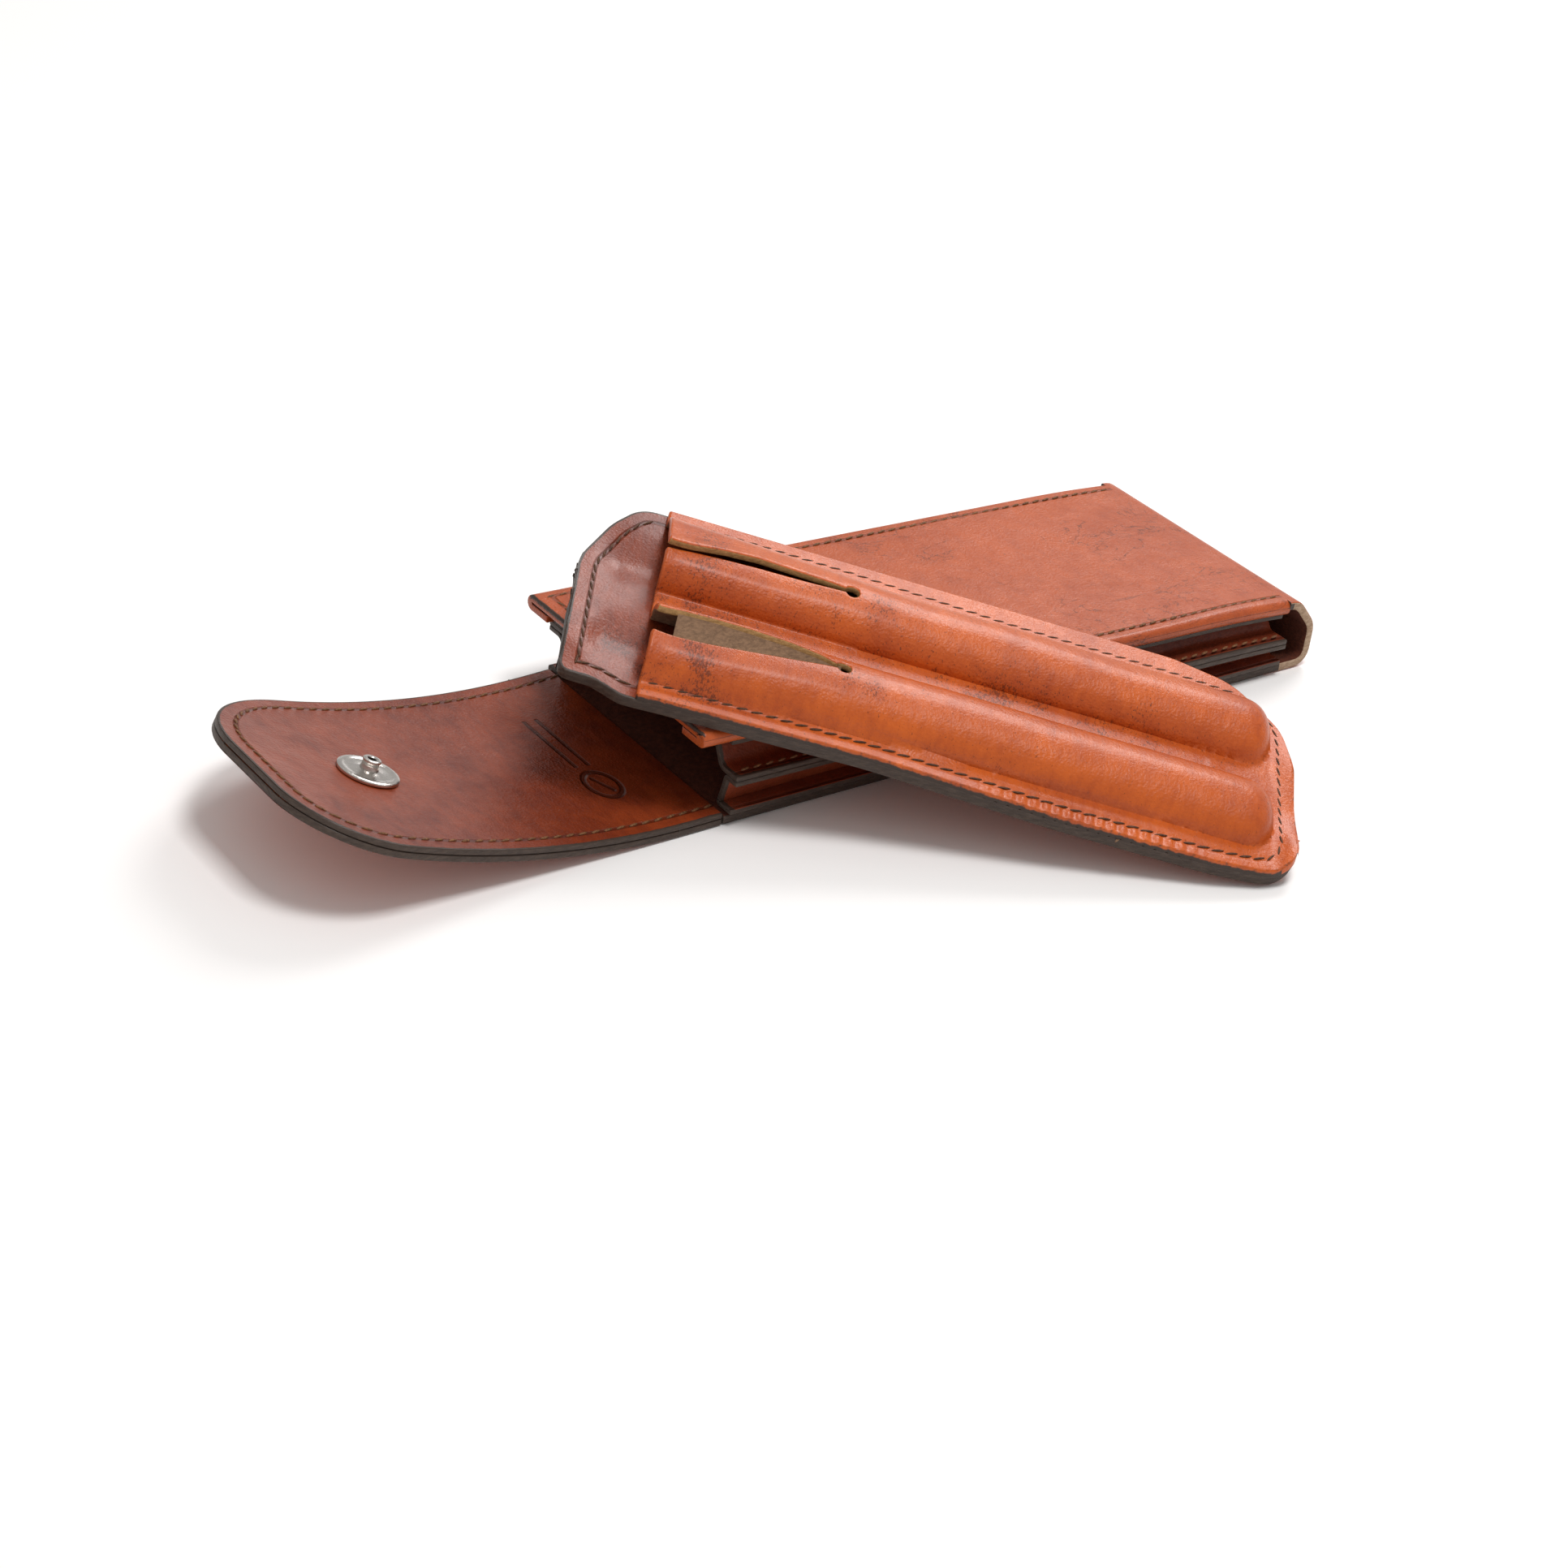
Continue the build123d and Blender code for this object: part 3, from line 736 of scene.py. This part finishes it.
flap_row = inset(spaced(flap_edge, 400), SEAM)
flap_row = spaced(flap_row, int(np.linalg.norm(np.diff(flap_row, axis=0), axis=1).sum() / PITCH))
places = {"root": [], "lid": []}
for here, after in zip(flap_row, flap_row[1:]):
    run, y = (here + after) / 2
    if run < 1.2:
        continue
    x, z = flap_place(run, FLAP_THICK)
    next_x, next_z = flap_place(run + 0.1, FLAP_THICK)
    lean = (next_z - z) / (next_x - x)
    step = after - here
    along = (-step[0], step[1], -step[0] * lean)
    places["root" if run < split else "lid"].append(((x, y, z), along, (-lean, 0, 1)))
for span, nodes in (("root", ["flap_spine_thread"]), ("lid", ["flap_lid_thread", "flap_spine_thread"])):
    row = sew(f"flap_{span}_stitches", places[span])
    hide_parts(*nodes)
    bend(row, span)

# Magnetic snap
# Turned and pressed nickel-plated steel: a stud with a tubular post on the lid, and on the top panel
# a capped socket round a ring magnet.


def nickel_finish():
    """Bright plate with finger smears and fine turning scratches."""
    f = Finish("polished_nickel", Metallic=1.0)
    smear = f.cloud(f.place(), 260, 5, 0.65)
    colour = f.tint(smear.over(0.3, 0.8), (0.66, 0.62, 0.58, 1), (0.48, 0.45, 0.42, 1))
    f.feed(f.surface.inputs["Base Color"], colour)
    f.feed(f.surface.inputs["Roughness"], smear * 0.22 + 0.08)
    scratch = f.cloud(f.place((1, 8, 1), (0, 0, 0.6)), 700, 3, 0.6)
    f.feed(f.surface.inputs["Normal"], f.relief(scratch, 0.00004))
    return f.material


nickel = nickel_finish()


def turned(name, profile, place, body, node):
    """A lathe part from its half section, in millimetres, set on its axis."""
    mesh = bpy.data.meshes.new(name)
    points = [(r * MM, 0, z * MM) for r, z in profile]
    mesh.from_pydata(points, [(i, i + 1) for i in range(len(points) - 1)], [])
    piece = bpy.data.objects.new(name, mesh)
    bpy.context.scene.collection.objects.link(piece)
    stand_on(piece)
    lathe = piece.modifiers.new("lathe", "SCREW")
    lathe.steps = lathe.render_steps = 56
    lathe.use_merge_vertices = True
    lathe.merge_threshold = 1e-6
    bpy.ops.object.modifier_apply(modifier="lathe")
    bpy.ops.object.mode_set(mode="EDIT")
    bpy.ops.mesh.select_all(action="SELECT")
    bpy.ops.mesh.remove_doubles(threshold=1e-6)
    bpy.ops.mesh.normals_make_consistent(inside=False)
    bpy.ops.object.mode_set(mode="OBJECT")
    bpy.ops.object.shade_smooth_by_angle(angle=radians(35))
    mesh.transform(place)
    mesh.materials.append(nickel)
    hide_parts(node)
    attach(piece, body)


def snap_place(x, z, lean):
    """Where half of the snap stands on its leather, leaning with it."""
    across, up = Vector((0, 1, 0)), Vector((lean, 0, 1)).normalized()
    place = Matrix((across.cross(up), across, up)).transposed().to_4x4()
    place.translation = Vector((x, SNAP_Y, z)) * MM
    return place


SNAP_Y, SNAP_RUN, SOCKET_X = -3.5, 66.5, -44.4
stud_x, stud_z = flap_place(SNAP_RUN, FLAP_THICK)
stud_place = snap_place(stud_x, stud_z, 2 * (SNAP_RUN - FLAT_RUN) / FLAP_CURL)
disc_line = [
    (1.95, 0.16), (6.2, 0.16), (6.42, 0.26), (6.5, 0.5), (6.42, 0.82), (6.2, 0.98), (5.5, 1.05),
    (5.25, 0.98), (5.1, 0.88), (4.2, 0.86), (3.0, 0.92), (2.6, 1.02), (2.15, 1.16), (1.95, 1.2),
    (1.95, 0.16),
]
post_line = [
    (0, 0.5), (0.90, 0.5), (0.90, 3.2), (1.05, 3.36), (1.3, 3.4), (1.7, 3.36), (1.88, 3.22),
    (1.92, 3.0), (1.80, 2.5), (1.80, 1.9), (1.92, 1.5), (1.92, 0.3), (0, 0.3),
]
turned("snap_stud_plate", disc_line, stud_place, "flap_lid", "snap_stud_disc")
turned("snap_stud_tube", post_line, stud_place, "flap_lid", "snap_stud_post")
socket_place = snap_place(SOCKET_X, float(top_height(SOCKET_X)) + 0.05, TOP_FALL)
cap_line = [
    (2.6, 3.0), (2.6, 3.2), (2.75, 3.35), (3.0, 3.32), (3.5, 3.2), (5.6, 3.2), (6.3, 3.1), (6.8, 2.8),
    (7.05, 2.3), (7.1, 0.5), (7.1, 0), (6.6, 0), (6.6, 2.3), (6.3, 2.75), (5.6, 2.95), (3.2, 3.0),
    (2.6, 3.0),
]
turned("snap_socket_dome", cap_line, socket_place, "sleeve", "snap_socket_cap")


def steel_finish(name, colour, rough):
    """Plain plate, wiped and a little uneven."""
    f = Finish(name, Metallic=1.0)
    wipe = f.cloud(f.place(), 420, 4, 0.6)
    dull = tuple(c * 0.7 for c in colour[:3]) + (1,)
    f.feed(f.surface.inputs["Base Color"], f.tint(wipe.over(0.3, 0.7), colour, dull))
    f.feed(f.surface.inputs["Roughness"], wipe * 0.2 + rough)
    return f.material


def repaint(node, material):
    """A carried-over node takes its own finish."""
    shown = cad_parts[node]
    shown.data.materials.clear()
    shown.data.materials.append(material)


zinc = steel_finish("zinc_plate", (0.55, 0.54, 0.52, 1), 0.25)
repaint("snap_socket_magnet", steel_finish("dark_magnet", (0.16, 0.16, 0.17, 1), 0.3))
for node in ("snap_socket_base", "snap_socket_washer", "snap_stud_washer"):
    repaint(node, zinc)
repaint("snap_socket_patch", lined_inside)

# Pen holder, place and outline
# The holder is built flat, with u from its mouth to its closed end, v from its near to its far edge
# and n out of its front, and is then turned and set down across the sleeve. Its edges were cut by
# eye, so the near one sways by a millimetre.
HOLDER_LONG, HOLDER_WIDE, TAB = 138.5, 58.9, 16.4
BACK_PLY, FRONT_PLY = 1.25, 1.6
BORDER = 2 * BACK_PLY + FRONT_PLY
TUBES = (15.6, 41.0)  # the middle line of each
holder_turn = (radians(12.18), radians(11.15), radians(-36.96))
holder_shift = Matrix.Translation(Vector((-97.8, -22.4, 25.95)) * MM)
holder_place = holder_shift @ Euler(holder_turn).to_matrix().to_4x4()
outline_corners = [
    (5, 0), (22, 0.3), (48, 1.0), (88, -1.0), (121, -1.0), (HOLDER_LONG, 0.8), (HOLDER_LONG, 33),
    (HOLDER_LONG - 2.5, 46), (HOLDER_LONG - 13, HOLDER_WIDE - 2.7), (HOLDER_LONG - 26.5, HOLDER_WIDE),
    (-5.6, HOLDER_WIDE), (-11.2, 51.4), (-TAB + 0.1, 39), (-TAB + 0.3, 2.4), (-9, 2.4), (-3, -0.3),
    (0, -0.3),
]
outline_radii = [60, 60, 60, 60, 9, 20, 14, 14, 20, 7, 20, 16, 2.5, 4, 4]
holder_edge = rounded(outline_corners, outline_radii, 0.8)
holder_edge = np.vstack([holder_edge, holder_edge[:1]])


def sides_of(edge, at):
    """Near and far limits of an outline at each u."""
    low, high = [], []
    for u in np.clip(at, edge[:, 0].min() + 0.01, edge[:, 0].max() - 0.01):
        crossing = []
        for a, b in zip(edge, edge[1:]):
            if (a[0] - u) * (b[0] - u) <= 0 and abs(a[0] - b[0]) > 1e-9:
                crossing.append(a[1] + (u - a[0]) / (b[0] - a[0]) * (b[1] - a[1]))
        low.append(min(crossing))
        high.append(max(crossing))
    return np.array(low), np.array(high)


END_START, SHY = HOLDER_LONG - 14, 0.03  # rows close up towards the rim and stop just shy of it
end_rows = END_START + (HOLDER_LONG - END_START - SHY) * np.sin(np.linspace(0, pi / 2, 36))
tab_rows = -(TAB - SHY) * np.sin(np.linspace(0, pi / 2, 34))[::-1]


def curl(u, v):
    """The closed end's border turns up a little, most between the tubes and at the far corner."""
    end = step_up((u - 133.2) / 5.0)
    return end * (0.9 + 0.5 * np.sin(v / 4.2) + 0.5 * np.cos(v / 9.0))


# Pen holder, back
# An outer ply and a lining, cut alike with the rounded pull tab. Two soft channels worn by the pens
# run out over the tab.


def hill(value, middle, spread):
    """1 at the middle, falling away softly on both sides."""
    return np.exp(-(((value - middle) / spread) ** 2))


def channel(u, v):
    """Depth of the two channels, which fade towards the tab's rim and under the tubes."""
    depth = sum(hill(v, c, 6.0) for c in TUBES)
    return 1.15 * depth * step_up((u + TAB - 2.5) / 6) * step_up((26 - u) / 26)


def tab_lift(u, v):
    """The tab's outer corners curl a little."""
    return 0.5 * step_up(-u / TAB) * np.sin(v / 9.0) * step_up((v - 2) / 10)


back_rows = np.concatenate([tab_rows[:-1], np.linspace(0, END_START, 80)[:-1], end_rows])
near_rim, far_rim = [0, 0.6, 1.3, 2.2], [56.6, 57.5, 58.2, HOLDER_WIDE]
back_across = np.concatenate([near_rim, np.linspace(3.4, 55.5, 48), far_rim]) / HOLDER_WIDE
back_low, back_high = sides_of(holder_edge, back_rows)
TAB_SEAM = 3.5
holder_grain = leather(
    "holder_grain", (0.62, 0.122, 0.015, 1), (0.37, 0.058, 0.010, 1), (0.12, 0.025, 0.009, 1), 0.26,
    specks=0.9, veins=0.10, seam=50, turn=holder_turn,
)
tab_grain = leather(
    "tab_grain", (0.29, 0.050, 0.014, 1), (0.13, 0.020, 0.008, 1), (0.028, 0.009, 0.006, 1), 0.27,
    specks=0.6, seam=TAB_SEAM, turn=holder_turn,
)


def back_ply(name, height, grain, back, kept):
    """One ply of the back, its top face at a height; kept picks the edges that stay sharp."""

    def shape(row, column):
        u = back_rows[row]
        v = back_low[row] + (back_high[row] - back_low[row]) * back_across[column]
        return np.stack([u, v, height - channel(u, v) + tab_lift(u, v) + curl(u, v)], axis=1)

    ply = cut_leather(name, len(back_rows), len(back_across), shape)
    thicken(ply, BACK_PLY, True, [grain, back, edge_dye], even=False)
    soften_rims(ply, 0.3, kept)
    at = get_points(ply) / MM
    rim = distance_to(holder_edge, at[:, :2])
    # A dark smudge on the tab in the near channel; and, from 5 mm before the mouth on, painted shade where
    # the tubes' mouths stand over the tab, going on under the front.
    smudge_and_shade = hill(at[:, 1], 15, 6) * hill(at[:, 0], -7, 6) + step_up((at[:, 0] + 5) / 8) * 0.8
    mark_rim(ply, rim, soil_and_shade=np.clip(smudge_and_shade, 0, 1) * 0.9)
    ply.data.transform(holder_place)
    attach(ply, "holder")
    return ply


def flat_height(p):
    """Each point's height as it would be with the channels, the lift and the curl ironed out."""
    u, v = p[:, 0], p[:, 1]
    return p[:, 2] + channel(u, v) - tab_lift(u, v) - curl(u, v)


def above_foot(p):
    return flat_height(p) >= 0.6


def below_rim_or_covered(p):
    return (flat_height(p) < 1.9) | (p[:, 0] > 0.3)


outer = back_ply("holder_back", BACK_PLY - 0.01, holder_grain, holder_grain, above_foot)
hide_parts("holder_back_outer")
lining = back_ply("holder_tab_and_lining", 2 * BACK_PLY, tab_grain, holder_grain, below_rim_or_covered)
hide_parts("holder_back_lining")

# Pen holder, moulded front
# One piece of wet-moulded calf: a flat border, two tubes side by side with domed ends, and a slit
# in each tube that ends in a punched hole. The slits' far lips have sprung up with use, and the
# border is puckered between the stitches and the near edge.
RISE, HALF_TUBE, DOME = 6.4, 9.3, 8.0
TUBE_END = 133.5
TUBE_SPREAD, SPREAD_END = (-2.2, 4.0), 62
SLIT, HOLE = 39.4, 1.5
slit_at = np.array([0, 5, 12, 19, 28, 34, SLIT - HOLE])
SLITS = (  # the hole's v; how far the near and the far lip stand off it; how far the far lip springs
    (
        17.4, (5.0, 5.0, 4.3, 3.3, 2.0, 1.1, 0.55), (0.1, 0.5, 0.9, 1.2, 1.3, 1.0, 0.55),
        (1.5, 2.0, 2.1, 1.9, 1.4, 0.8, 0.2),
    ),
    (
        41.4, (2.9, 2.1, 1.3, 0.8, 0.6, 0.55, 0.5), (-2.5, -1.8, -0.1, 0.9, 0.7, 0.6, 0.5),
        (1.4, 1.2, 1.0, 0.8, 0.5, 0.3, 0.1),
    ),
)


def lip(u, stand):
    """How far a lip stands off the line through the hole."""
    taper = np.interp(u, slit_at, stand)
    hole = np.maximum(np.sqrt(np.maximum(0, HOLE**2 - (u - SLIT) ** 2)), stand[-1] * (u < SLIT))
    return np.where(u > SLIT + HOLE, 0, np.where(u > SLIT - HOLE, hole, taper))


def spring_up(u, spring):
    """How far a far lip has sprung, dying out past the hole."""
    return np.interp(u, slit_at, spring) * step_up((SLIT + 1 - u) / 6)


def moulding(u, v):
    """How far the tubes stand above the border; they are fuller, and spread apart, at the mouth."""
    rise = np.zeros_like(u)
    for centre, spread in zip(TUBES, TUBE_SPREAD):
        flare = np.abs(spread) * (1 - step_up(u / SPREAD_END)) * ((v - centre) * spread > 0)
        x = np.abs(v - centre) / (HALF_TUBE + flare)
        y = np.maximum(0, u - TUBE_END + DOME) / DOME
        rise += (RISE + 0.5 - 0.009 * u) * np.clip(1 - x**2.2 - y**2.8, 0, 1) ** 0.62
    return rise


front_rows = np.concatenate([
    np.linspace(0, SLIT - HOLE, 56)[:-1], SLIT - HOLE * np.cos(np.linspace(0, pi, 13)),
    np.linspace(SLIT + HOLE, END_START, 190)[1:-1], end_rows,
])
front_low, front_high = sides_of(holder_edge, front_rows)
columns = [0, 0.5, 1.0, 1.6, 2.2, 2.8, 3.4, 4.0, 5.0]
slits = []
for centre, (hole_v, near_lip, far_lip, spring) in zip(TUBES, SLITS):
    low, high = centre - HALF_TUBE, centre + HALF_TUBE
    columns += list(low + (hole_v - low) * (1 - np.cos(np.linspace(0.02, pi / 2, 19)))[:-1])
    slits.append(len(columns))
    columns += [hole_v, hole_v]
    columns += list(high - (high - hole_v) * (1 - np.cos(np.linspace(pi / 2, 0.02, 17)))[1:])
    columns += [high + 1.0, high + 2.6]
columns += list(np.linspace(HOLDER_WIDE - 3.6, HOLDER_WIDE, 7))
columns = np.array(columns)


def front_shape(row, column):
    """The border follows the outline, each slit's lips part round its hole, and the tubes rise."""
    u, base = front_rows[row], columns[column]
    near_share = np.clip(1 - base / 8, 0, 1)
    far_share = np.clip(1 - (HOLDER_WIDE - base) / 10, 0, 1)
    v = base + front_low[row] * near_share + (front_high[row] - HOLDER_WIDE) * far_share
    squeeze = step_up((u - 108) / 15)
    even = front_low[row] + (front_high[row] - front_low[row]) * base / HOLDER_WIDE
    v = v * (1 - squeeze) + squeeze * even
    sprung = np.zeros_like(u)
    for slit, centre, (hole_v, near_lip, far_lip, spring) in zip(slits, TUBES, SLITS):
        low, high = centre - HALF_TUBE, centre + HALF_TUBE
        near_side = (column <= slit) & (base >= low)
        far_side = (column > slit) & (base <= high)
        v = np.where(near_side, v - lip(u, near_lip) * (base - low) / (hole_v - low), v)
        v = np.where(far_side, v + lip(u, far_lip) * (high - base) / (high - hole_v), v)
        lift = spring_up(u, spring) * hill(v, hole_v + lip(u, far_lip), 2.6)
        sprung += np.where(far_side, lift, 0)
        droop = 0.3 * hill(v, hole_v - lip(u, near_lip), 3) * step_up((SLIT - u) / 12)
        sprung -= np.where(near_side, droop, 0)
    tube, edge_in = moulding(u, v), v - front_low[row]
    puckers = hill(edge_in, 1.6, 1.3) * step_up((u - 66) / 14) * step_up((121 - u) / 10)
    n = tube + sprung
    n += 0.24 * np.sin(u * 2 * pi / 2.4 + 0.8 * np.sin(u / 5)) * puckers
    n += 0.10 * np.sin(u / 7 + v / 5) * np.minimum(1, tube / 4)  # moulded by hand, so a little uneven
    n += 0.40 * np.exp(-u / 1.6) * (tube > 2)  # the mouth's rim turns out
    n -= 0.25 * hill(edge_in, 3.1, 0.5) * (u < 133)  # pressed in along the near seam
    return np.stack([u, v, BORDER + n + curl(u, v)], axis=1)


front = cut_leather("holder_moulded_front", len(front_rows), len(columns), front_shape)
per_column = len(front_rows) - 1
stand_on(front)
bpy.ops.object.mode_set(mode="EDIT")
bpy.ops.mesh.select_mode(type="FACE")
bpy.ops.mesh.select_all(action="DESELECT")
bpy.ops.object.mode_set(mode="OBJECT")
for slit in slits:
    for face in range(slit * per_column, (slit + 1) * per_column):
        front.data.polygons[face].select = True
bpy.ops.object.mode_set(mode="EDIT")
bpy.ops.mesh.delete(type="FACE")
bpy.ops.mesh.select_all(action="SELECT")
bpy.ops.mesh.remove_doubles(threshold=2e-5)
bpy.ops.object.mode_set(mode="OBJECT")
raw_cut = raw_leather("tan_cut_edge", (0.52, 0.30, 0.12, 1), (0.30, 0.16, 0.06, 1))
thicken(front, FRONT_PLY, True, [holder_grain, flesh_side, holder_grain, raw_cut], even=False)
for face in front.data.polygons:
    if face.material_index == 2:
        u, v = face.center.x / MM, face.center.y / MM
        if 0.05 < u < SLIT + 3 and 8 < v < 48:
            face.material_index = 3


def inner_front(p):
    """Picks the points away from the front's outline, mouth and slits, and those on its back."""
    by_slit = (p[:, 1] > 8) & (p[:, 1] < 48) & (p[:, 0] < SLIT + 3)
    deep = (distance_to(holder_edge, p[:, :2]) > 0.5) & ~by_slit & (p[:, 0] > 0.4)
    return deep | (p[:, 2] < BORDER - FRONT_PLY + 0.2 + curl(p[:, 0], p[:, 1]))


soften_rims(front, 0.45, inner_front)
at = get_points(front) / MM
rim = distance_to(holder_edge, at[:, :2])
low_on_rim = step_up((BORDER - 0.75 + curl(at[:, 0], at[:, 1]) - at[:, 2]) / 0.5) * (rim < 0.3)
top_edge = 0.42 * (1 - step_up((rim - 0.2) / 0.9))
u, v = at[:, 0], at[:, 1]
# Painted shade in the valley between the tubes, fading towards the closed end; and a darkening near the
# tubes' mouths and round the holes.
valley_shade = hill(v, 27.6, 5.5) * (0.75 + 0.25 * np.cos(u / 13)) * step_up((128 - u) / 14)
by_mouth = sum(hill(v, c, 8) for c in TUBES) * hill(u, 9, 5.5) + hill(u, 10, 6) * hill(v, 5, 5)
by_hole = sum(hill(v, c - 1.5, 4) for c in TUBES) * hill(u, 43, 13) * 0.75
mark_rim(front, rim, np.maximum(low_on_rim, top_edge), np.clip(valley_shade + by_mouth + by_hole, 0, 1))
front.data.transform(holder_place)
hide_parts("holder_front")
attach(front, "holder")

# Skived strip in the near slit
# The near slit's far edge was pared away on a long slant for a pen's clip, which lays bare the
# grey-brown flesh of the leather.
skive_rows = np.linspace(4.3, SLIT - 0.6, 50)
skive_columns = 9


def skive_shape(row, column):
    """From under the far lip's top edge down to under the near lip, sagging a little between."""
    hole_v, near_lip, far_lip, spring = SLITS[0]
    u, share = skive_rows[row], column / (skive_columns - 1)
    far = hole_v + lip(u, far_lip) + 0.25
    near = hole_v - lip(u, near_lip) - 0.9
    top = moulding(u, far) + spring_up(u, spring) - 1.15
    foot = moulding(u, near) - 1.75
    sag = 0.35 * np.sin(share * pi)
    n = top + (foot - top) * share - sag
    return np.stack([u, far + (near - far) * share, BORDER + n], axis=1)


skive = cut_leather("holder_slit_skive", len(skive_rows), skive_columns, skive_shape)
thicken(skive, 0.5, True, [flesh_side, flesh_side, flesh_side], even=False)
soften_rims(skive, 0.12)
skive.data.transform(holder_place)
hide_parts("holder_front")
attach(skive, "holder")

# Thread round the holder and its tab
# Waxed brown linen in saddle stitch. On the border it keeps close to the tubes, further in on the
# far side; on the tab it follows the rim.
turn_only = holder_place.to_3x3()
seam_corners = [
    (1.6, 4.0), (48, 4.2), (88, 2.1), (121, 2.1), (135.2, 3.9), (135.2, 41), (134.3, 46.6), (127, 53),
    (112, 53.8), (75, 54.0), (40, 55.6), (1.6, 56.0),
]


def holder_row(line, on_tab):
    """Places of stitches along a line drawn on the flat holder, on its border or on its tab."""
    line = spaced(line, int(np.linalg.norm(np.diff(line, axis=0), axis=1).sum() / PITCH))
    for here, after in zip(line, line[1:]):
        u, v = (here + after) / 2
        if on_tab and u > -1.5:
            continue
        if on_tab:
            n = 2 * BACK_PLY - channel(u, v) + tab_lift(u, v)
        else:
            n = BORDER - 0.12 + curl(u, v) + float(moulding(np.array([u]), np.array([v]))[0])
        step = after - here
        place = (holder_place @ (Vector((u, v, float(n))) * MM)) / MM
        yield np.array(place), turn_only @ Vector((step[0], step[1], 0)), turn_only @ Vector((0, 0, 1))


LONG, WIDE = 1.5, 0.27  # half a stitch's size here
border_line = rounded(seam_corners, [60, 60, 60, 6, 8, 6, 6, 20, 40, 40], 0.8)
border_row = sew("holder_border_stitches", holder_row(border_line, False), brown_thread, LONG, WIDE)
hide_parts("holder_border_thread")
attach(border_row, "holder")
tab_line = inset(spaced(holder_edge, 500), TAB_SEAM)
tab_row = sew("holder_tab_stitches", holder_row(tab_line, True), brown_thread, LONG, WIDE)
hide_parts("holder_tab_thread")
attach(tab_row, "holder")

low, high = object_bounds()
{"cad": [list(cad_low), list(cad_high)], "visual": [list(low), list(high)]}
